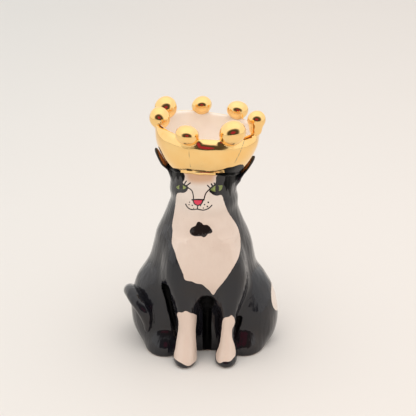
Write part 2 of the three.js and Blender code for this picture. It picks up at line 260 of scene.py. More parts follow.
ears = {
    "thick": 3.8,
    "rearGap": -0.9,
    "frontGap": 2.3,
    "footDraw": 0.5,
    "halfWidth": 8.5,
    "right": {"angle": 181.0, "foot": -9.0, "tip": 12.8, "stand": 0.0, "drawn": 1.7, "from": 3.5},
    "left": {"angle": -1.0, "foot": -11.0, "tip": 11.4, "stand": -0.9, "drawn": 1.2, "from": -5.0},
}
joins = {
    "leg": 8.0, "haunchAtLeg": 3.5, "haunchAtBody": 5.5, "tail": 0.9, "tailRoot": 6.0,
    "ear": 3.0, "floor": 1.6, "bead": 1.3, "beadNeck": 2.5,
}


def ovalGap(x, y, halfX, halfY):
    # distance to an oval near its edge: (q - 1) / |slope of q|, where q = |(x / a, y / b)|
    q = np.hypot(x / halfX, y / halfY) + 1e-6
    return (q - 1) * q / np.maximum(np.hypot(x / halfX**2, y / halfY**2), 1e-4)


def eggGap(p, centre, radii):  # the same for an egg with three half sizes
    away, radii = p - np.array(centre, float), np.array(radii, float)
    q = np.sqrt(((away / radii) ** 2).sum(-1)) + 1e-6
    return (q - 1) * q / np.maximum(np.sqrt(((away / radii**2) ** 2).sum(-1)), 1e-4)


def bodyGap(p):
    centre, half, front, widest, back = between(body["stations"], p[:, 2])
    reach = np.where(p[:, 1] > widest, back - widest, widest - front)
    return ovalGap(p[:, 0] - centre, p[:, 1] - widest, half, reach)


def legGap(p, side):
    centre, front, back, half = between(legs[side], p[:, 2])
    gap = ovalGap(p[:, 0] - centre, p[:, 1] - (front + back) / 2, half, (back - front) / 2)
    return np.maximum(gap, p[:, 2] - legs[side][-1][0])


def haunchGap(p, side):
    haunch = haunches[side]
    below = p[:, 2:] < haunch["thigh"][2]
    radii = np.where(below, haunch["radii"][:2] + [haunch["under"]], haunch["radii"])
    thigh = eggGap(p, haunch["thigh"], radii)
    return join(thigh, eggGap(p, haunch["foot"], haunch["footRadii"]), haunches["soft"])


def tailLine(places):  # centre and radius of the tail at places from 0, root, to 1, tip
    path = np.array(tail["path"], float)
    run = np.concatenate([[0.0], np.cumsum(np.linalg.norm(np.diff(path, axis=0), axis=1))])
    centre = between(np.column_stack([run / run[-1], path]), places).T
    steps = np.linspace(0, 1, len(tail["radii"]))
    return centre, between(np.column_stack([steps, tail["radii"]]), places)[0]


tailCentres, tailSizes = tailLine(np.linspace(0, 0.985, 90))


def tailGap(p):  # the nearest of many balls along the tail
    gap = np.full(len(p), farAway)
    near = (p[:, 0] < -8) & (p[:, 2] < 52)
    if near.any():
        away = np.linalg.norm(p[near][:, None] - tailCentres[None], axis=-1) - tailSizes
        gap[near] = away.min(1)
    return gap


def hollowGap(p, hollow):  # distance to a tapered rod with round ends
    low, high, thick, thin, deep = (np.array(v, float) for v in hollow[:5])
    run = high - low
    part = np.clip((p[:, 2] - low[2]) / run[2], 0, 1)
    away = (p - low - part[:, None] * run) / np.array([1.0, deep, 1.0])
    return np.linalg.norm(away, axis=-1) - lerp(thick, thin, part)


def toCrown(p):  # the crown's own frame: turned about Y, z = 0 at the bowl's foot
    x, y, z = (p - np.array(crown["centre"])).T
    x, z = turned(x, z, crown["tilt"])
    return np.stack([x, y, z], -1)


def fromCrown(p):
    x, y, z = np.moveaxis(p, -1, 0)
    x, z = turned(x, z, -crown["tilt"])
    return np.stack([x, y, z], -1) + np.array(crown["centre"])


def bowlOuter(h):  # outer radius: it swells from the foot and is upright at the rim
    rise = np.clip(h / crown["height"], 0, 1)
    return lerp(crown["footRadius"], crown["rimRadius"], 1 - (1 - rise) ** crown["swell"])


def bowlSeat(r):  # height of the outside at a radius, the same curve turned round
    part = np.clip((r - crown["footRadius"]) / (crown["rimRadius"] - crown["footRadius"]), 0, 1)
    return crown["height"] * (1 - (1 - part) ** (1 / crown["swell"]))


def headTopHeight(y):  # in the crown's frame: level behind, rising over the forehead
    return headTop["gap"] + headTop["rise"] * (np.maximum(-y, 0) / headTop["front"]) ** 2


def earShape(ear, t, across):
    # at t from 0, foot, to 1, tip: height, half width, half thickness and how far out it stands
    height = lerp(ear["foot"], ear["tip"], t)
    below = np.maximum(-height, 0)
    half = ears["halfWidth"] * np.maximum(1 - t**2.4, 0.02) ** 0.8
    thin = ears["thick"] / 2 * (1 - 0.1 * t) + below * 0.3
    front = -1 if math.cos(math.radians(ear["angle"])) > 0 else 1
    forward = 0.5 + 0.5 * front * across / ears["halfWidth"]
    gap = lerp(ears["rearGap"], ears["frontGap"], forward) * (1 - 0.5 * t)
    out = bowlOuter(height) + ears["thick"] - thin - ears["footDraw"] * below + gap
    out = out + ear["stand"] * t - ear["drawn"] * ease((ear["from"] - height) / 5)
    return height, half, thin, out


def earGap(p, side):
    ear = ears[side]
    x, y, z = toCrown(p).T
    x, y = turned(x, y, -ear["angle"])
    t = np.clip((z - ear["foot"]) / (ear["tip"] - ear["foot"]), 0, 1)
    height, half, thin, out = earShape(ear, t, y)
    return np.maximum(ovalGap(x - out, y, thin, half), np.abs(z - height))


# directions and phases of the waves that make clay uneven, then their height and length
crossing = np.array([
    [1, 0.3, 0.4, 0.2], [-0.5, 1, 0.3, 1.9], [0.3, -0.6, 1, 4.1],
    [1.3, 1.1, -0.4, 2.7], [-1.2, 0.5, 1.3, 5.3], [0.4, 1.5, 1.2, 0.9],
])
uneven = {"clay": (0.16, 26.0), "gold": (0.1, 15.0), "bowl": (0.22, 24.0)}


def lumps(p, kind):  # hand-made unevenness: the sum of the crossing waves
    height, length = uneven[kind]
    waves = p @ crossing[:, :3].T * 2 * np.pi / length + crossing[:, 3]
    return np.sin(waves).sum(-1) * height / 3


def claySkin(p):
    # all the clay forms joined with fillets, cut level at the floor with a soft edge
    legGaps, haunchGaps, earGaps = (
        np.minimum(gap(p, "right"), gap(p, "left")) for gap in (legGap, haunchGap, earGap)
    )
    room = np.maximum(ease((legGaps - 1.0) / 9.0), ease((p[:, 2] - 38.0) / 20.0))
    root = ease((p[:, 1] - 14.0) / 12.0)
    whole = join(bodyGap(p), legGaps, joins["leg"])
    whole = join(whole, haunchGaps, lerp(joins["haunchAtLeg"], joins["haunchAtBody"], room))
    whole = join(whole, tailGap(p), lerp(joins["tail"], joins["tailRoot"], root))
    whole = join(whole, earGaps, joins["ear"])
    for hollow in hollows:
        whole = carve(whole, hollowGap(p, hollow), hollow[5])
    return carve(whole + lumps(p, "clay"), p[:, 2], joins["floor"])


clayForms = {"body": bodyGap, "tail": tailGap}
for side in sides:
    for part, gap in (("Leg", legGap), ("Haunch", haunchGap), ("Ear", earGap)):
        clayForms[side + part] = lambda p, gap=gap, side=side: gap(p, side)


def luted(rows, own, depth=2.5):
    # brings a piece's points to the joined skin, except where it runs inside another piece
    points = rows.reshape(-1, 3)
    others = np.min([gap(points) for name, gap in clayForms.items() if name != own], axis=0)
    others = np.max([others] + [-hollowGap(points, hollow) for hollow in hollows], axis=0)
    return settle(points, claySkin, ease((others + depth) / depth)).reshape(rows.shape)


# Beads on the rim, at an angle from +X, set in from the rim and leaning towards +X. The first
# stands on a neck: its width, height and lift.
beads = [
    dict(zip(("angle", "inset", "width", "height", "lift", "lean"), values)) for values in (
        (-14.6, 2.6, 12.2, 12.6, 9.2, 0.0),
        (53.5, 1.2, 15.2, 13.0, 5.0, 0.0),
        (97.7, 0.8, 14.0, 13.2, 4.0, 1.3),
        (148.0, 1.0, 15.3, 16.0, 4.3, 0.0),
        (173.5, 2.6, 14.4, 15.0, 2.2, -0.6),
        (246.4, 2.0, 15.5, 12.9, 2.4, -0.6),
        (298.0, 2.2, 17.4, 17.0, 5.3, 1.0),
    )
]
beads[0]["neck"] = (8.6, 9.0, 2.6)


def beadCentre(bead):
    x, y = turned(crown["rimRadius"] - bead["inset"], 0.0, bead["angle"])
    return np.array([x, y, crown["height"] + bead["lift"]])


def halves(width, height):
    return np.array([width, width, height]) / 2


def beadGap(q, bead):
    centre = beadCentre(bead)
    q = q - np.array([1.0, 0, 0]) * (bead["lean"] * (q[:, 2:] - centre[2]) * 2 / bead["height"])
    gap = eggGap(q, centre, halves(bead["width"], bead["height"]))
    if "neck" in bead:
        width, height, lift = bead["neck"]
        low = centre + np.array([0, 0, lift - bead["lift"]])
        gap = join(gap, eggGap(q, low, halves(width, height)), joins["beadNeck"])
    return gap


lipRadius = crown["wall"] / 2
lipTop = crown["height"] - lipRadius


def bowlInner(h):  # inner radius, the same curve from the floor to the lip
    down = np.clip((lipTop - h) / (lipTop - crown["floorThick"]), 0, 1)
    swollen = 1 - down ** crown["swell"]
    return lerp(crown["floorRadius"], crown["rimRadius"] - crown["wall"], swollen)


def rollShare(x, y):  # 1 in front, where the wall is rolled in to the lip, 0 behind
    return ease((0.25 - y / np.maximum(np.hypot(x, y), 1.0)) / 0.9)


def rollPart(h):  # from 0 to 1 up the part of the wall that is rolled in
    return np.clip((h - crown["height"]) / crown["rollDeep"] + 1, 0, 1)


def rollOutside(h):  # a quarter of an oval: a (1 - sqrt(1 - u^2))
    return crown["rollIn"] * (1 - np.sqrt(1 - rollPart(h) ** 2))


def rollInside(h):
    return (crown["rollIn"] - lipRadius) * rollPart(h) ** 2


def bowlLine(count):
    # radius, height and roll in front along the profile: foot, outside, lip, inside, floor
    edge = crown["footRadius"] - crown["footRound"]
    foot = np.linspace(0, edge, 12)[1:]
    heel = np.radians(np.linspace(-90, -12, 7))
    up = spread(1.2, lipTop, count, lambda h: 1 + 2 * (h > lipTop - 6))
    turn = np.radians(np.linspace(8, 172, 22))
    lip = lipTop + lipRadius * np.sin(turn)
    rolled = rollOutside(lip) - lipRadius * (1 - np.cos(turn))
    down = np.linspace(lipTop, crown["floorThick"], count)
    floor = np.linspace(crown["floorRadius"] - 0.7, 0.6, 12)
    return np.concatenate([
        stack(foot, 0.0, 0.0),
        stack(edge + crown["footRound"] * np.cos(heel), crown["footRound"] * (1 + np.sin(heel)), 0),
        stack(bowlOuter(up), up, rollOutside(up)),
        stack(crown["rimRadius"] - lipRadius + lipRadius * np.cos(turn), lip,
              np.where(turn < np.pi / 2, rolled, crown["rollIn"] - lipRadius)),
        stack(bowlInner(down), down, rollInside(down)),
        stack(floor, crown["floorThick"] - 0.25, 0.0),
    ])


wallHeight = np.linspace(crown["floorThick"] / 2, lipTop, 40)


def bowlGap(q):  # the nearest of many rings of clay up the wall
    r = np.hypot(q[:, 0], q[:, 1])
    gap = np.full(len(q), farAway)
    near = (r > 18) & (q[:, 2] > 8)
    if near.any():
        share = rollShare(q[near, 0], q[near, 1])[:, None]
        outside = bowlOuter(wallHeight) - share * rollOutside(wallHeight)
        inside = bowlInner(wallHeight) - share * rollInside(wallHeight)
        away = np.hypot(r[near][:, None] - (outside + inside) / 2, q[near, 2][:, None] - wallHeight)
        gap[near] = (away - (outside - inside) / 2).min(1)
    return gap


def goldSkin(q):  # bowl and beads joined with a small fillet, in the crown's frame
    beadGaps = np.min([beadGap(q, bead) for bead in beads], axis=0)
    return join(bowlGap(q), beadGaps, joins["bead"]) + lumps(q, "gold")


# The photo's camera, which also places what is painted on the glaze.
photo = {"place": [2.6, -700.0, 354.5], "down": 19.95, "size": 416, "focal": 1063.0}
perPixel = 0.68  # mm on the cat for one pixel of the photo
reach = 5.0  # paint distances are kept within this many pixels


def onPhoto(p):  # where points fall on the photo: focal x / depth from its middle
    x, y, z = (p - np.array(photo["place"])).T
    depth, up = turned(y, z, photo["down"])
    return photo["size"] / 2 + photo["focal"] * np.stack([x, -up], -1) / depth[:, None]


def smoothLine(points, closed=True, each=6):  # more points, on a curve through them
    p = np.array(points, float)
    count = len(p)
    if closed:
        p = np.concatenate([p[-2:], p, p[:3]])
        keys = np.linspace(2, count + 2, count * each + 1)
    else:
        keys = np.linspace(0, count - 1, (count - 1) * each + 1)
    return between(np.column_stack([np.arange(len(p)), p]), keys).T


def toLine(spots, line):  # distance from each spot to the nearest stretch of the line
    a, b = line[:-1], line[1:]
    run = b - a
    part = ((spots[:, None] - a) * run).sum(-1) / np.maximum((run**2).sum(-1), 1e-9)
    near = a + np.clip(part, 0, 1)[..., None] * run
    return np.linalg.norm(spots[:, None] - near, axis=-1).min(1)


def nearBox(spots, line):  # which spots lie in the line's box, or within reach of it
    return np.flatnonzero(((spots > line.min(0) - reach) & (spots < line.max(0) + reach)).all(-1))


def patchDistance(spots, outlines):  # how far inside the nearest outline, negative outside
    found = np.full(len(spots), -reach)
    for outline in outlines:
        loop = smoothLine(outline)
        loop = np.concatenate([loop, loop[:1]])
        at = nearBox(spots, loop)
        for part in np.array_split(at, len(at) // 8000 + 1):
            here = spots[part]
            a, b = loop[:-1], loop[1:]
            rises = (a[:, 1] > here[:, None, 1]) != (b[:, 1] > here[:, None, 1])
            rise = np.where(b[:, 1] == a[:, 1], 1e-9, b[:, 1] - a[:, 1])
            level = (here[:, None, 1] - a[:, 1]) / rise
            crossed = rises & (here[:, None, 0] < a[:, 0] + level * (b[:, 0] - a[:, 0]))
            inside = np.where(crossed.sum(-1) % 2 == 1, 1, -1) * toLine(here, loop)
            found[part] = np.maximum(found[part], inside)
    return np.clip(found, -reach, reach)


def strokeDistance(spots, strokes):  # how far inside the brush strokes, negative outside
    found = np.full(len(spots), -reach)
    for width, points in strokes:
        line = smoothLine(points, closed=False)
        at = nearBox(spots, line)
        if len(at):
            found[at] = np.maximum(found[at], width / 2 - toLine(spots[at], line))
    return np.clip(found, -reach, reach)


# What is painted on the glaze, as it falls on the photo: outlines, and strokes with a width.
# An outline with a layer's name is on the face: spot, irises, nose, the painted shade under the
# bowl and the painted reflection of the gold on the forehead.
coat = {
    "bib": [[
        (184.4, 171), (185, 176), (184.4, 179.6), (182.8, 182.4), (184.6, 184.4), (187.4, 185.6),
        (187.6, 189.4), (184.5, 192.6), (178, 193), (176.2, 197), (175.5, 203.5), (173.2, 218.5),
        (172.2, 224.5), (172.6, 232), (171.8, 243), (174.8, 251.5), (177, 259), (179.8, 266.5),
        (183.1, 274), (185.2, 280), (191.2, 281.4), (197, 283.6), (202.2, 284.6), (205.7, 287.4),
        (209.5, 290.6), (213.3, 294.8), (217.2, 289.4), (225.7, 279), (233.3, 267.4),
        (238.6, 257), (240.5, 247.3), (240, 235.8), (237.2, 226.2), (232.4, 218.6), (227.6, 211),
        (224.3, 202.4), (221.6, 195.2), (216.5, 195.8), (211.8, 193.8), (209.6, 190.4),
        (211.7, 186.6), (215.4, 183), (216, 177.5), (216.2, 171),
    ]],
    "spotCoat": [[
        (195.6, 225.6), (197, 222.6), (198.9, 221.7), (201.3, 222.6), (203.5, 224.7),
        (206.6, 224.9), (209.6, 226.5), (212.5, 231.2), (210.9, 233.3), (208, 234),
        (205.8, 236.5), (203.5, 237.4), (201.3, 236.3), (195.2, 236.3), (191.2, 234.7),
        (189.5, 231.5), (190.9, 228.2), (193.4, 226.7),
    ]],
    "rightSock": [[
        (177.2, 313.2), (182.7, 312.4), (185.7, 311), (190, 312.7), (194.8, 314.2), (196.7, 317),
        (195.6, 333), (197, 353.6), (196.9, 359.7), (193.6, 362.7), (189.4, 365.7),
        (185.1, 365.1), (177.9, 361.1), (174.2, 357.8), (174, 353.6), (175.6, 346), (178, 330.6),
        (178.6, 322),
    ]],
    "leftSock": [[
        (223.3, 319.1), (229.4, 316.6), (231.5, 315.2), (234.2, 317.9), (234.8, 323.3),
        (232.3, 329.6), (232.3, 338), (235, 346.5), (235.5, 354.8), (232.4, 359.1),
        (229.4, 361.5), (223.9, 361.7), (219.7, 363), (216.6, 360.3), (215.7, 354.8),
        (217.2, 350), (219.8, 343.4), (221.5, 330.6),
    ]],
    "greenCoat": [[
        (176.2, 187.2), (177.6, 185.9), (180, 185.2), (184, 185.4), (186.4, 187.3),
        (184.4, 188.9), (181, 189.2), (178, 189),
    ], [
        (210.4, 190.1), (212.6, 187.6), (215.4, 185.8), (219, 185.5), (222.4, 185.4),
        (222.2, 188), (220.6, 190.4), (217, 191.4), (213.2, 191.4),
    ]],
    "redCoat": [[
        (193, 200.1), (197.8, 199.8), (202.6, 200.1), (200.9, 203.9), (197.9, 205),
        (194.7, 203.7),
    ]],
    # black tufts under the bowl, pure black with no reflection as painted shade, and the painted
    # reflection of the gold bowl on the forehead
    "paintedShadeCoat": [[
        (171, 168.5), (180.5, 170.2), (184.2, 174), (184.2, 177.5), (183, 181.5), (181.6, 177.6),
        (180, 175.8), (178.6, 179.6), (177.2, 178.6), (176.4, 176.4), (174.8, 179), (173.6, 182),
        (172.4, 177.5), (170, 174),
    ], [
        (224.6, 168.8), (233, 166.6), (243, 164.5), (243, 172), (239, 177.5), (235, 181.6),
        (232, 185.4), (231.4, 191.5), (230, 196), (228.8, 191.6), (227.6, 188.8), (226.4, 191.2),
        (225.2, 187), (223.6, 184.4), (224.8, 180), (225.3, 175),
    ]],
    "paintedGoldReflectionCoat": [[
        (186.5, 170), (186.5, 177), (190, 181.5), (197, 183), (205, 182.8), (212, 181.5),
        (214.5, 177), (214.5, 170),
    ]],
}
brushLines = [
    (3.8, [(181.1, 186.6), (181.1, 188.4)]),
    (1.3, [(175.4, 185.6), (178.6, 184), (182.8, 184.5), (187.4, 187)]),
    (2.4, [(177, 190.2), (179.5, 191.3), (182.6, 191.4), (185.6, 190), (187.4, 187.8)]),
    (3.7, [(217.1, 187.2), (217.1, 190.2)]),
    (1.3, [(209.4, 189.4), (212.4, 186.5), (216.4, 184.8), (222.4, 184.4)]),
    (2.4, [(210.4, 191.2), (213.3, 192.9), (217.1, 193.7), (220.4, 192.4), (222.6, 189.6)]),
    (1.3, [(186.2, 186), (188.2, 184.5), (190.3, 183)]),
    (1.2, [(184.3, 184.4), (185.2, 182.8), (186.3, 181.1)]),
    (1.1, [(182.6, 184), (182.2, 182.6), (181.6, 181.6)]),
    (1.3, [(207.5, 185.4), (208.7, 186.5), (210, 188)]),
    (1.6, [(211.4, 184), (212, 185.2), (212.7, 186.6)]),
    (1.3, [(214.1, 183), (214.7, 184), (215.3, 185.2)]),
    (1.1, [(187.9, 187.6), (191.5, 190.2), (193, 194), (193.6, 199.4)]),
    (1.2, [(210, 188.9), (206.7, 192.1), (205.2, 194.8), (204, 199.2)]),
    (1.4, [(192, 199.8), (197.8, 199.5), (204, 199.8)]),
    (1.2, [(193, 200.4), (194.4, 203.8), (197.4, 205.4)]),
    (1.3, [(203.1, 200.4), (201.2, 204), (198.2, 205.4)]),
    (1.1, [(197.6, 205.4), (197.4, 209.2)]),
    (1.1, [(185.7, 204.1), (187.1, 206.7), (189.4, 208.7), (192.4, 209.6), (197.4, 209.1)]),
    (1.2, [(197.4, 209.1), (202.9, 210.1), (207.2, 209.1), (210, 207.2), (211.9, 205.2)]),
]
# dots at the mouth: width, place, and the way that the brush was drawn
brushDots = [
    (1.1, 189.4, 202.1, 0.2, 0.1), (1.2, 188.9, 204.6, 0.2, 0.1), (1.3, 192.2, 205.3, 0.2, 0.1),
    (1.0, 193.7, 208.3, 0.1, 0.1), (1.5, 208.2, 202.3, 0.2, 0.2), (1.5, 204.5, 204.5, 0.2, 0.2),
    (1.5, 207.3, 206.4, 0.2, 0.1), (1.3, 203.3, 208, 0.2, 0.1), (1.1, 200.6, 205.7, 0.1, 0.1),
]
brushLines += [(width, [(x, y), (x + run, y + drop)]) for width, x, y, run, drop in brushDots]
bowlHairlines = [
    (0.8, [(188.4, 147), (189, 154), (190, 160), (190.4, 167)]),
    (0.8, [(244.4, 140), (241.5, 149), (238, 156.5), (234.6, 163)]),
]
bowlSeam = [(0.9, [
    (172, 168.4), (180, 169.2), (188, 169.2), (194, 170.2), (203, 171), (210.5, 171.6),
    (218, 170.8), (226, 169),
])]
# cream patch on the left flank, in mm
flank = {"centre": (53.4, 5.0, 34.5), "half": (9.0, 22.0, 12.0), "edge": 11.0}
layers = (
    "whiteCoat", "spotCoat", "greenCoat", "redCoat", "lineCoat", "bareClay", "paintedShadeCoat",
    "paintedGoldReflectionCoat", "earGoldReflectionCoat",
)


def paint(piece, points, parts):  # each layer is a distance in mm
    normal = facing(piece)
    toward = unit(np.array(photo["place"]) - points)
    seen = (normal * toward).sum(-1) * 8.0  # paint that follows the photo ends where it turns away
    spots = onPhoto(points)
    found = {name: np.full(len(points), -reach) for name in layers}
    for part in parts:
        if part == "flank":
            q = np.linalg.norm((points - np.array(flank["centre"])) / flank["half"], axis=-1)
            found["whiteCoat"] = np.maximum(found["whiteCoat"], (1 - q) * flank["edge"])
        elif part == "face":
            found["lineCoat"] = np.minimum(strokeDistance(spots, brushLines), seen)
            for name in found.keys() & coat.keys():
                found[name] = np.minimum(patchDistance(spots, coat[name]), seen)
        elif part == "ear":  # painted reflection of the gold bowl: brown inside, on the side towards the bowl
            q = toCrown(points)
            outward = (normal[:, :2] * q[:, :2]).sum(-1) / np.hypot(q[:, 0], q[:, 1])
            found["earGoldReflectionCoat"] = (-0.6 - outward) * 8
        else:
            white = np.minimum(patchDistance(spots, coat[part]), seen)
            found["whiteCoat"] = np.maximum(found["whiteCoat"], white)
    # painted shade: the hollows pressed into the clay are painted pure black
    pressed = np.min([hollowGap(points, hollow) for hollow in hollows], axis=0)
    found["paintedShadeCoat"] = np.maximum(found["paintedShadeCoat"], (0.45 - pressed) * 2.0)
    found["bareClay"] = (0.35 - points[:, 2]) * 4.0
    for name in layers:
        layer(piece, name, np.clip(found[name], -reach, reach) * perPixel)


# Tools for materials. They work on the node tree that was opened last.
def put(value, socket):  # links or sets a socket; a colour is its red, green and blue
    if isinstance(value, bpy.types.NodeSocket):
        tree.links.new(value, socket)
    else:
        socket.default_value = (*value, 1.0) if socket.type == "RGBA" else value


def add(kind, inputs=(), **settings):  # one node, its sockets put by name or number
    made = tree.nodes.new("ShaderNode" + kind)
    for key, value in settings.items():
        setattr(made, key, value)
    for key, value in dict(inputs).items():
        put(value, made.inputs[key])
    return made


def mix(factor, low, high, how="MIX"):  # between two colours
    sockets = {0: factor, 6: low, 7: high}
    return add("Mix", sockets, data_type="RGBA", blend_type=how).outputs[2]


def maths(operation, *values):
    return add("Math", dict(enumerate(values)), operation=operation).outputs[0]


def times(a, b, plus=0.0):  # a b + plus
    return maths("MULTIPLY_ADD", a, b, plus)


def vectors(operation, *values):
    return add("VectorMath", dict(enumerate(values)), operation=operation).outputs


def split(vector):
    return add("SeparateXYZ", {0: vector}).outputs


def ranged(value, low, high, start=0.0, end=1.0):  # value from low..high as start..end, eased
    sockets = {"Value": value, "From Min": low, "From Max": high, "To Min": start, "To Max": end}
    return add("MapRange", sockets, interpolation_type="SMOOTHSTEP").outputs["Result"]


def noise(place, scale, detail=2.0, rough=0.5):
    sockets = {"Vector": place, "Scale": scale, "Detail": detail, "Roughness": rough}
    return add("TexNoise", sockets).outputs["Fac"]


def cells(place, scale):
    return add("TexVoronoi", {"Vector": place, "Scale": scale}).outputs["Distance"]


def openEffect(name, inputs, outputs):  # a node group with named sockets, for more materials
    global tree
    tree = bpy.data.node_groups.new(name, "ShaderNodeTree")
    for way, labels in (("INPUT", inputs), ("OUTPUT", outputs)):
        for label in labels:
            kind = "NodeSocketVector" if label == "Place" else "NodeSocketFloat"
            tree.interface.new_socket(name=label, in_out=way, socket_type=kind)
    return tree, tree.nodes.new("NodeGroupInput").outputs, tree.nodes.new("NodeGroupOutput").inputs


def openMaterial(name):  # a material, the place on its piece, and its shader's sockets
    global tree
    made = bpy.data.materials.new(name)
    made.use_nodes = True
    tree = made.node_tree
    return made, add("TexCoord").outputs["Object"], tree.nodes["Principled BSDF"].inputs


def use(group, **values):
    return add("Group", values, node_tree=group).outputs


# Glaze surface: slow waves, streaks where it ran down, fine orange peel and a few pits, in mm.
glazeSurface, given, out = openEffect(
    "glazeSurface", ["Place", "Waves", "Streaks", "Peel", "Pits"], ["Height", "Mottle", "Wear"]
)
place = given["Place"]
hole = ranged(cells(place, 210.0), 0.0, 0.13, 1.0, 0.0)
hole = times(hole, ranged(noise(place, 60.0), 0.52, 0.66))
drawn = vectors("MULTIPLY", place, (1.0, 1.0, 0.2))[0]
height = times(noise(place, 95.0), given["Waves"])
height = times(noise(place, 620.0), given["Peel"], height)
height = times(noise(drawn, 260.0), given["Streaks"], height)
height = maths("SUBTRACT", height, times(hole, given["Pits"]))
put(height, out["Height"])
put(noise(place, 38.0, 4.0, 0.6), out["Mottle"])
put(noise(place, 240.0, 3.0, 0.6), out["Wear"])

# Painted edge: 1 inside a painted distance, 0 outside, with a brush's small wobble.
paintedEdge, given, out = openEffect(
    "paintedEdge", ["Place", "Distance", "Wobble", "Softness"], ["Mask", "Step"]
)
shake = maths("SUBTRACT", noise(given["Place"], 420.0), 0.5)
shaken = times(shake, given["Wobble"], given["Distance"])
put(ranged(maths("DIVIDE", shaken, given["Softness"]), -1.0, 1.0), out["Mask"])
put(ranged(shaken, -0.1, 0.7), out["Step"])

# Iron specks that show through pale glaze.
ironSpecks, given, out = openEffect("ironSpecks", ["Place", "Scale"], ["Mask"])
dots = ranged(cells(given["Place"], given["Scale"]), 0.03, 0.09, 1.0, 0.0)
put(times(dots, ranged(noise(given["Place"], 75.0), 0.5, 0.62)), out["Mask"])

glaze = {
    "black": (0.0085, 0.0084, 0.0115),
    "blackWarm": (0.013, 0.0085, 0.008),
    "white": (0.785, 0.645, 0.552),
    "whiteDeep": (0.72, 0.565, 0.47),
    "whitePale": (0.785, 0.67, 0.585),
    "speck": (0.30, 0.19, 0.13),
    "green": (0.30, 0.34, 0.10),
    "greenDeep": (0.17, 0.21, 0.06),
    "paintedGoldReflection": (0.65, 0.39, 0.24),
    "earGoldReflection": (0.50, 0.20, 0.07),
    "red": (0.72, 0.035, 0.085),
    "line": (0.012, 0.010, 0.011),
    "paintedShade": (0.002, 0.002, 0.002),
    "clay": (0.60, 0.47, 0.37),
    "clayDeep": (0.50, 0.37, 0.28),
    "blackGloss": 0.055,
    "whiteGloss": 0.14,
    "clayRough": 0.8,
    "paintedShadeRough": 0.4,
    "refraction": 1.52,
}
gold = {
    "bright": (1.0, 0.69, 0.30),
    "deep": (0.98, 0.60, 0.21),
    "bowlWhite": (0.955, 0.865, 0.785),
    "bowlWhiteDeep": (0.93, 0.81, 0.70),
    "hairline": (0.50, 0.37, 0.20),
    "gloss": 0.05,
}


def stored(name):  # a layer painted on the piece
    return add("Attribute", attribute_name=name).outputs["Fac"]


def painted(name, wobble, softness):
    values = {"Distance": stored(name), "Wobble": wobble, "Softness": softness}
    return use(paintedEdge, Place=place, **values)


def speckled(share, scale, ground):
    specks = use(ironSpecks, Place=place, Scale=scale)["Mask"]
    return mix(times(specks, share), ground, glaze["speck"])


def dress(tint, rough, height):  # what every material sets, with a bump from a height in mm
    put(tint, shader["Base Color"])
    put(rough, shader["Roughness"])
    bump = add("Bump", {"Strength": 1.0, "Distance": mm, "Height": height})
    put(bump.outputs["Normal"], shader["Normal"])


catGlaze, place, shader = openMaterial("catGlaze")
surface = use(glazeSurface, Place=place, Waves=0.14, Streaks=0.5, Peel=0.006, Pits=0.05)
white, spot = painted("whiteCoat", 0.55, 0.10), painted("spotCoat", 0.3, 0.09)
# painted shade in the hollows and under the bowl, and the unglazed clay at the foot
paintedShade, bareAndShade = painted("paintedShadeCoat", 0.5, 0.35)["Mask"], painted("bareClay", 0.9, 0.25)["Mask"]
black = mix(ranged(surface["Mottle"], 0.45, 0.8), glaze["black"], glaze["blackWarm"])
# painted reflection of the gold bowl, brown on the ears' inner sides
black = mix(painted("earGoldReflectionCoat", 0.3, 0.6)["Mask"], black, glaze["earGoldReflection"])
pale = mix(ranged(surface["Mottle"], 0.3, 0.75), glaze["white"], glaze["whiteDeep"])
# the white is deeper in tone low down, and a little paler on the face and the flank
at = split(place)
pale = mix(ranged(at["Z"], 0.10, 0.118), pale, glaze["whitePale"])
pale = mix(ranged(at["Z"], 0.05, 0.09, 1.0, 0.0), pale, glaze["whiteDeep"])
pale = mix(ranged(at["X"], 0.042, 0.048), pale, glaze["whitePale"])
pale = speckled(0.5, 330.0, pale)
# painted reflection of the gold bowl, a brown tint on the forehead under it
pale = mix(ranged(stored("paintedGoldReflectionCoat"), -3.0, 2.6), pale, glaze["paintedGoldReflection"])
whole = mix(white["Mask"], black, pale)
greens = mix(ranged(surface["Wear"], 0.35, 0.65), glaze["green"], glaze["greenDeep"])
for mask, over in (
    (painted("greenCoat", 0.2, 0.09)["Mask"], greens),
    (painted("redCoat", 0.2, 0.09)["Mask"], glaze["red"]),
    (painted("lineCoat", 0.22, 0.08)["Mask"], glaze["line"]),
    (spot["Mask"], glaze["blackWarm"]),
    (paintedShade, glaze["paintedShade"]),
    (bareAndShade, glaze["clay"]),
):
    whole = mix(mask, whole, over)
glossy = times(white["Mask"], maths("SUBTRACT", 1.0, spot["Mask"]))
rough = ranged(glossy, 0.0, 1.0, glaze["blackGloss"], glaze["whiteGloss"])
rough = times(surface["Wear"], 0.05, rough)
rough = ranged(paintedShade, 0.0, 1.0, rough, glaze["paintedShadeRough"])
rough = ranged(bareAndShade, 0.0, 1.0, rough, glaze["clayRough"])
# the black glaze lies a little thicker than the white, and the spot on top of it
thick = times(white["Step"], -0.12, surface["Height"])
thick = times(spot["Step"], 0.14, thick)
dress(whole, rough, thick)
# painted shade: the pure black places are made a black metal, which shows next to no reflection, so
# they take no light
put(times(paintedShade, 0.9), shader["Metallic"])
put(glaze["refraction"], shader["IOR"])

goldLustre, place, shader = openMaterial("goldLustre")
surface = use(glazeSurface, Place=place, Waves=0.24, Peel=0.003, Pits=0.03)
golds = mix(ranged(surface["Mottle"], 0.35, 0.8), gold["bright"], gold["deep"])
golds = mix(painted("hairline", 0.05, 0.12)["Mask"], golds, gold["hairline"])
inner = mix(ranged(surface["Mottle"], 0.3, 0.75), gold["bowlWhite"], gold["bowlWhiteDeep"])
inner = speckled(0.45, 300.0, inner)
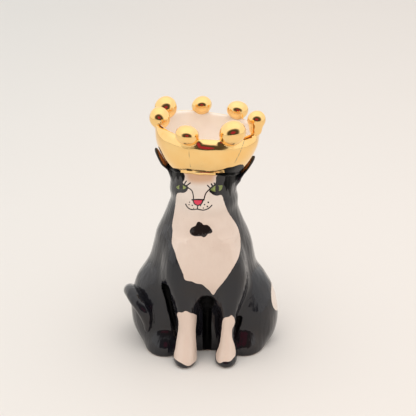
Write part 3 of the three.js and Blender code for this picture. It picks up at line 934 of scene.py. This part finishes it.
# black paint on the coil and painted shade under the bowl, both pure black with no reflection
coated, bareAndShade = (painted(name, 0.7, 0.12)["Mask"] for name in ("goldCoat", "blackPaintAndShadeCoat"))
rough = times(surface["Wear"], 0.08, gold["gloss"])
rough = ranged(bareAndShade, 0.0, 1.0, rough, glaze["paintedShadeRough"])
dress(mix(bareAndShade, mix(coated, inner, golds), glaze["paintedShade"]), rough, surface["Height"])
put(maths("MAXIMUM", coated, bareAndShade), shader["Metallic"])

bareClay, place, shader = openMaterial("bareClay")
surface = use(glazeSurface, Place=place, Waves=0.10, Peel=0.05, Pits=0.12)
ground = mix(surface["Mottle"], glaze["clay"], glaze["clayDeep"])
rough = times(surface["Wear"], 0.15, 0.72)
dress(speckled(1.0, 260.0, ground), rough, surface["Height"])
print("materials made")


def clayPiece(name, rows, parts, nodeName):
    piece, points = sheetMesh(name, rows)
    paint(piece, points, parts)
    finishPiece(piece, catGlaze, nodeName)


# The body: one hollow shell from the roof of its hollow, down inside, round the foot and up.
# Its rows stand closest together on the face; the foot and the face are shares of the height.
bodyGrid = {
    "around": 280, "up": 250, "inside": 14, "top": 10, "footTo": 30 / 133,
    "faceFrom": 103 / 133,
}


def bodyPoints(angle, z, grow=0.0):
    # half ovals: centre + half cos, widest + reach sin, with the front and back reaches apart
    shape = np.broadcast(angle, z).shape
    angle, z = (np.broadcast_to(v, shape).ravel() for v in (angle, z))
    centre, half, front, widest, back = between(body["stations"], z)
    out = np.where(np.sin(angle) > 0, back - widest, widest - front) + grow
    points = stack(centre + (half + grow) * np.cos(angle), widest + out * np.sin(angle), z)
    return points.reshape(*shape, 3)


turn = np.radians(spread(
    90, 450, bodyGrid["around"] + 1, lambda a: 1 + 4.5 * np.exp(-((a - 270) / 62) ** 8)
))[:-1]
topHeight = np.full(len(turn), body["rimGuess"])
for _ in range(12):  # the rim of the head lies on the seat of the crown
    rim = toCrown(bodyPoints(turn, topHeight))
    topHeight += headTopHeight(rim[:, 1]) - rim[:, 2]
share = spread(0, 1, bodyGrid["up"], lambda s: np.where(
    s < bodyGrid["footTo"], 0.85, np.where(s < bodyGrid["faceFrom"], 1.25, 4.0)
))
outer = luted(bodyPoints(turn, share[:, None] * topHeight), "body")
down = np.linspace(body["cavityTop"], 1.2, bodyGrid["inside"])[:, None]
inner = bodyPoints(turn, down, -body["wall"])
foot = np.stack([
    bodyPoints(turn, 0 * turn + lift, grow)
    for grow, lift in ((-4.9, 0.3), (-4.3, 0.0), (-3.2, 0.0), (-2.0, 0.0), (-1.2, 0.0))
])
rim = toCrown(outer[-1])
cap = []
for part in np.linspace(0.97, 0.04, bodyGrid["top"]):
    x, y = rim[:, 0] * part, rim[:, 1] * part
    seat = np.where(np.hypot(x, y) < crown["footRadius"], 0.0, bowlSeat(np.hypot(x, y))) - 0.2
    cap.append(fromCrown(stack(x, y, np.minimum(headTopHeight(y), seat))))
rows = np.concatenate([inner, foot, outer, np.array(cap)])
clayPiece("bodyShell", rows, ["bib", "face", "flank"], "torso")

# Legs: lofts of ovals with level feet, closed over at the shoulder.
for side in sides:
    top = legs[side][-1][0]
    turn = onceRound(150)
    sole, up, over = np.linspace(0.1, 0.92, 8), np.linspace(0, top, 110), np.linspace(0.9, 0.1, 8)
    z = np.concatenate([0 * sole, up, 0 * over + top])
    shrink = np.concatenate([sole, 0 * up + 1, over])[:, None]
    centre, front, back, half = (v[:, None] for v in between(legs[side], z))
    x = centre + half * shrink * np.cos(turn)
    y = (front + back) / 2 + (back - front) / 2 * shrink * np.sin(turn)
    rows = luted(stack(x, y, z[:, None]), side + "Leg")
    clayPiece(side + "Foreleg", rows, ["bib", side + "Sock"], side + "_front_leg")

# Haunches: one skin round thigh and foot together, from rays out of a core line inside both.
for side in sides:
    thigh, foot = (np.array(haunches[side][name]) for name in ("thigh", "foot"))
    turn = onceRound(200)
    up = np.linspace(0, thigh[2] + haunches[side]["radii"][2] - 0.3, 120)
    core = foot + (thigh - foot) * np.clip(up / (thigh[2] + 8), 0, 1)[:, None]
    out = stack(np.cos(turn), np.sin(turn), 0.0)
    rows = stack(core[:, None, 0], core[:, None, 1], up[:, None]) + out * 0.5
    for _ in range(40):  # walks out to the skin: each step is the distance that is left
        gap = haunchGap(rows.reshape(-1, 3), side).reshape(len(up), len(turn), 1)
        rows = rows - out * np.clip(gap, -4, 4) * 0.8
    sole = np.linspace(0.05, 0.95, 12)[:, None, None]
    rows = np.concatenate([rows[0].mean(0) + (rows[0] - rows[0].mean(0)) * sole, rows])
    parts = ["flank"] if side == "left" else []
    clayPiece(side + "Haunch", luted(rows, side + "Haunch"), parts, side + "_haunch")

# Tail: rings square to its line, by two directions across it, rounded off at the tip.
places = spread(0, 1, 200, lambda t: 1 + 5 * (t > 0.96))
centres, sizes = tailLine(places)
lengthLeft = (1 - places) * tail["length"]
blunt = 1 - (1 - np.minimum(lengthLeft / tail["tipRound"], 1)) ** 2
sizes = sizes * np.sqrt(np.clip(blunt, 0.002, 1))
along = unit(np.gradient(centres, axis=0))
across = unit(np.cross(along, [0.577, 0.577, -0.577]))
turn = onceRound(48, 0)[None, :, None]
out = across[:, None] * np.cos(turn) + np.cross(along, across)[:, None] * np.sin(turn)
rows = centres[:, None] + out * sizes[:, None, None]
clayPiece("tailRoll", luted(rows, "tail"), [], "tail")

# Ears: leaves along the bowl, each ring an oval half width by half thickness.
for side in sides:
    ear = ears[side]
    t = spread(0, 1, 80, lambda s: 1 + 3 * (s > 0.85))[:, None]
    turn = onceRound(56, 0)
    across = earShape(ear, t, 0.0)[1] * np.sin(turn)
    height, half, thin, out = earShape(ear, t, across)
    # the leaf leans with the bowl, and its thickness is square to it: round at the tip
    lean = np.arctan(np.gradient(out, axis=0) / np.gradient(height, axis=0))
    deep = thin * np.sqrt(np.clip(1 - t**14, 0.003, 1)) * np.cos(turn) * np.cos(lean)
    x, y = turned(out + deep * np.cos(lean), across, ear["angle"])
    rows = luted(fromCrown(stack(x, y, height - deep * np.sin(lean))), side + "Ear")
    clayPiece(side + "EarLeaf", rows, ["ear"], side + "_ear")
print("clay body made")


def goldUneven(q):  # the bowl was pressed by hand: its radius swells and sinks a little
    r = np.maximum(np.hypot(q[:, 0], q[:, 1]), 1.0)
    q = q.copy()
    q[:, :2] *= (1 + lumps(q, "bowl") * ease((r - 6) / 10) / r)[:, None]
    # the rim stands a little higher behind, most of all behind the right ear
    behind = np.maximum((0.766 * q[:, 1] - 0.643 * q[:, 0]) / r, 0) ** 4
    rise = 1.0 * ease(0.5 + 0.75 * q[:, 1] / r) + 2.2 * behind
    q[:, 2] += rise * ease((q[:, 2] - 8) / 18) * ease((r - 12) / 12)
    return q


def goldPaint(piece, points, kind):  # each layer is a distance in mm
    q = toCrown(points)
    r = np.hypot(q[:, 0], q[:, 1])
    spots = onPhoto(points)
    coated, dark, hair = (np.full(len(q), start) for start in (4.0, -4.0, -4.0))
    if kind == "bowl":
        rolled = rollShare(q[:, 0], q[:, 1])
        inside = crown["rimRadius"] - lipRadius - 0.4 - rolled * (crown["rollIn"] - lipRadius)
        wallOut = bowlOuter(q[:, 2]) - rolled * rollOutside(q[:, 2])
        outside = (q[:, 2] < lipTop - 1) & (r > wallOut - 1.9) | (q[:, 2] < 1.5)
        coated = np.where(outside, coated, r - inside)
        # painted shade: the black tufts under the bowl run over its foot as pure black, with a dark
        # line along its lower edge
        low = patchDistance(spots, coat["paintedShadeCoat"][1:])
        low = np.maximum(low, strokeDistance(spots, bowlSeam))
        dark = np.where((q[:, 1] < 5) & outside, low, dark)
        lines = strokeDistance(spots, bowlHairlines) * perPixel
        hair = np.where((q[:, 1] < 0) & (r > 24), lines, hair)
    if kind == "coil":  # only its front shows gold
        away = np.abs(spots[:, 0] - coil["goldAt"]) * perPixel
        dark = np.where(q[:, 1] > 0, 4.0, away - coil["goldHalf"])
    for name, values in (("goldCoat", coated), ("blackPaintAndShadeCoat", dark), ("hairline", hair)):
        layer(piece, name, np.clip(values, -4, 4))


def goldPiece(name, rows, kind, nodeName, looped=False):
    piece, points = sheetMesh(name, rows, looped)
    goldPaint(piece, points, kind)
    finishPiece(piece, goldLustre, nodeName)


# The bowl: its profile turned about the crown's axis.
line = bowlLine(60)
turn = onceRound(240)
radius = line[:, :1] - line[:, 2:] * rollShare(np.cos(turn), np.sin(turn))
rows = stack(radius * np.cos(turn), radius * np.sin(turn), line[:, 1:2])
flat = rows.reshape(-1, 3)
nearest = np.min([beadGap(flat, bead) for bead in beads], axis=0)
flat = settle(flat, goldSkin, ease((nearest + 1.6) / 1.6) * ease((3.0 - nearest) / 1.2))
goldPiece("crownBowl", fromCrown(goldUneven(flat)).reshape(rows.shape), "bowl", "crown_bowl")

# Beads: balls of clay pressed on the rim, with a fillet of slip round each.
turn = onceRound(72)
rise = np.radians(np.linspace(-88, 88, 50))[:, None]
ball = stack(np.cos(rise) * np.cos(turn), np.cos(rise) * np.sin(turn), np.sin(rise))
for k, bead in enumerate(beads):
    rows = beadCentre(bead) + ball * halves(bead["width"], bead["height"])
    rows = rows + ball[..., 2:] * np.array([bead["lean"], 0, 0])
    if "neck" in bead:  # the ball stretched down round its neck, then drawn in
        drop = bead["lift"] - bead["neck"][2] + bead["neck"][1] / 2 - bead["height"] / 2
        rows[..., 2] += drop * np.minimum(ball[..., 2], 0)
    flat = settle(rows.reshape(-1, 3), lambda q: beadGap(q, bead), steps=6)
    flat = settle(flat, goldSkin, ease((bowlGap(flat) + 1.6) / 1.6))
    rows = fromCrown(goldUneven(flat)).reshape(rows.shape)
    goldPiece("crownBead%d" % (k + 1), rows, "bead", "crown_bead_%d" % (k + 1))

# The coil that beds the bowl: a round roll along an oval that follows the top of the head.
coil = {"radius": 1.7, "around": 24, "along": 300, "goldAt": 198.0, "goldHalf": 11.9}
turn = onceRound(coil["along"], 0)
centreY = np.where(np.sin(turn) > 0, headTop["back"], headTop["front"]) * np.sin(turn)
thick = coil["radius"] * (1 + 0.12 * np.sin(7 * turn + 1) + 0.08 * np.sin(17 * turn))
ring = onceRound(coil["around"], 0)[:, None]
out = thick * np.cos(ring)
rows = stack(
    headTop["side"] * np.cos(turn) + out * np.cos(turn),
    centreY + out * np.sin(turn),
    headTopHeight(centreY) + coil["radius"] / 2 + thick * np.sin(ring),
)
rows = fromCrown(np.swapaxes(rows, 0, 1)[::-1])
goldPiece("crownCoil", rows, "coil", "crown_collar", looped=True)
print("crown made")

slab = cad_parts["base_slab"]
slab.data.materials.clear()
slab.data.materials.append(bareClay)

# A pale floor, a light tent round it, and one wide soft lamp above.
studio = {
    "floor": (0.815, 0.77, 0.73),
    "floorDeep": (0.795, 0.745, 0.70),
    "floorFar": (0.98, 0.98, 0.98),
    "floorLeft": (0.95, 0.985, 1.0),
    "floorReach": 4.0,
    "backdrop": (0.80, 0.735, 0.67),
    "tent": (1.0, 0.985, 0.965),
    "tentLevel": 1.05,
    "tentFill": 0.92,
    "overhead": 0.22,
    "cardDark": (0.075, 0.062, 0.05),
    "cardRed": (0.34, 0.028, 0.07),
    "lampPower": 10.5,
    "lampSize": 1.6,
    "lampTint": (1.0, 0.97, 0.94),
    "lampPlace": (0.05, -0.6, 1.7),
    "lampLean": (20.0, 2.0, 0.0),
}
mesh = bpy.data.meshes.new("floorSheet")
corners = [(-1, -1), (1, -1), (1, 1), (-1, 1)]
wide = studio["floorReach"]
mesh.from_pydata([(x * wide, y * wide, -0.1 * mm) for x, y in corners], [], [(0, 1, 2, 3)])
floor = addObject("floorSheet", mesh)
floorPaper, place, shader = openMaterial("floorPaper")
paper = mix(noise(place, 1.4), studio["floor"], studio["floorDeep"])
at, plain = split(place), (1.0, 1.0, 1.0)
# painted shade: the paper is a little darker far behind; on the left it is a little cooler in tone
paper = mix(1.0, paper, mix(ranged(at["Y"], 0.1, 1.8), plain, studio["floorFar"]), "MULTIPLY")
paper = mix(1.0, paper, mix(ranged(at["X"], -0.4, 0.1), studio["floorLeft"], plain), "MULTIPLY")
put(paper, shader["Base Color"])
put(0.6, shader["Roughness"])
put(0.2, shader["Specular IOR Level"])
mesh.materials.append(floorPaper)
floor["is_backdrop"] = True

scene = bpy.context.scene
scene.world = bpy.data.worlds.new("lightTent")
scene.world.use_nodes = True
tree = scene.world.node_tree
tree.nodes.clear()
looking = add("TexCoord").outputs["Generated"]
rays = add("LightPath").outputs
glossy = rays["Is Glossy Ray"]
# a dark card with a red heart stands round the camera, and shows in the gold and the glaze
narrowed = vectors("NORMALIZE", vectors("MULTIPLY", looking, (0.66, 1.0, 1.0))[0])[0]
facingCard = vectors("DOT_PRODUCT", narrowed, (0.0, -0.94, 0.34))["Value"]
tent = studio["tent"]
for low, high, tint in ((0.67, 0.90, "cardDark"), (0.970, 0.985, "cardRed")):
    tent = mix(times(ranged(facingCard, low, high), glossy), tent, studio[tint])
# reflections show a soft bright sky overhead, instead of the lamp's own square
bright = studio["tentLevel"] + studio["overhead"]
overhead = ranged(split(looking)["Z"], 0.45, 0.98, studio["tentLevel"], bright)
level = add("Mix", {0: glossy, 2: studio["tentFill"], 3: overhead}).outputs[0]
around = add("Background", {"Color": tent, "Strength": level}).outputs[0]
behind = add("Background", {"Color": studio["backdrop"], "Strength": 1.0}).outputs[0]
either = add("MixShader", {0: rays["Is Camera Ray"], 1: around, 2: behind})
add("OutputWorld", {"Surface": either.outputs[0]})

lamp = bpy.data.lights.new("softLamp", "AREA")
lamp.shape = "SQUARE"
lamp.size = studio["lampSize"]
lamp.energy = studio["lampPower"]
lamp.color = studio["lampTint"]
lampObject = addObject("softLamp", lamp)
lampObject.location = studio["lampPlace"]
lampObject.rotation_euler = np.radians(studio["lampLean"])
lampObject.visible_glossy = False

camera = bpy.data.cameras.new("photoCamera")
camera.sensor_fit = "HORIZONTAL"
camera.sensor_width = 36.0
camera.lens = photo["focal"] / photo["size"] * camera.sensor_width
camera.clip_end = 20.0
scene.camera = addObject("photoCamera", camera)
scene.camera.location = [v * mm for v in photo["place"]]
scene.camera.rotation_euler = (math.radians(90 - photo["down"]), 0.0, 0.0)
scene.view_settings.view_transform = "Standard"
print("studio made")

shownLow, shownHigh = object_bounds()
sizes = {"cad": [list(cadLow), list(cadHigh)], "visual": [list(shownLow), list(shownHigh)]}
